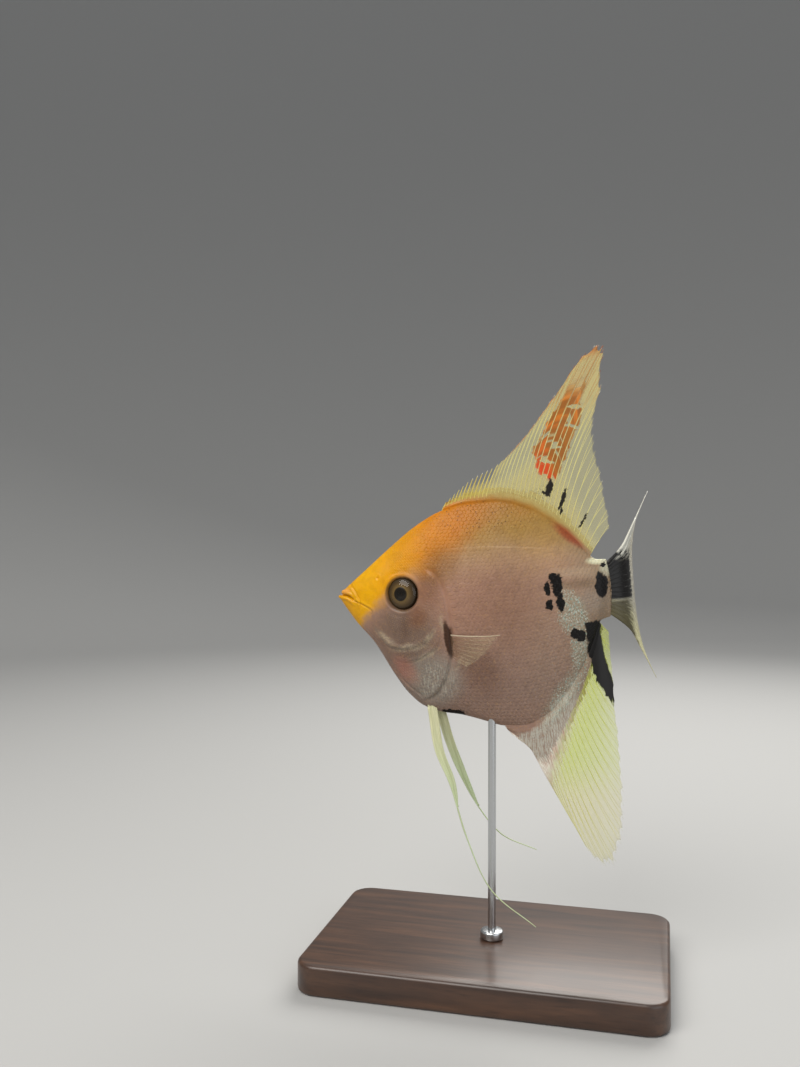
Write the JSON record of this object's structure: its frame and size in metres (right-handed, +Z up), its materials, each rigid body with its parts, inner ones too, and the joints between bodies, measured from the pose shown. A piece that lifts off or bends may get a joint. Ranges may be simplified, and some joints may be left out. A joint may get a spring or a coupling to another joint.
{
  "type": "freshwater angelfish model on a stand",
  "caption": "Still life-size freshwater angelfish, deep flat body with tall swept fins and long thread-like pelvic fins, on a rod and flat base.",
  "frame": {"origin": "middle of the stand's underside", "axes": "+X runs back along the fish from head to tail, +Z up, and the fish's left side faces -Y"},
  "size_m": [0.096, 0.06, 0.1731],
  "materials": {
    "crown_skin": "wet skin, satin gloss",
    "flank_skin": "wet scales, satin gloss",
    "fin": "thin translucent membrane over rays",
    "feeler": "thin translucent pelvic fin",
    "eye": "clear wet cornea over an olive brown iris",
    "stand_wood": "dark stained wood, satin",
    "stand_steel": "brushed"
  },
  "bodies": {
    "root": {"head": "crown_skin", "lower_jaw": "crown_skin", "gill_cover_left": "flank_skin", "gill_cover_right": "flank_skin", "trunk": "flank_skin", "tail": "flank_skin", "dorsal_fin_spiny": "fin", "dorsal_fin_soft": "fin", "anal_fin_spiny": "fin", "anal_fin_soft": "fin", "tail_fin": "fin", "pectoral_fin_left": "fin", "pectoral_fin_right": "fin", "pelvic_fin_left": "feeler", "pelvic_fin_right": "feeler", "eye_left": "eye", "eye_right": "eye", "stand_base": "stand_wood", "stand_rod": "stand_steel", "stand_collar": "stand_steel"}
  },
  "joints": []
}
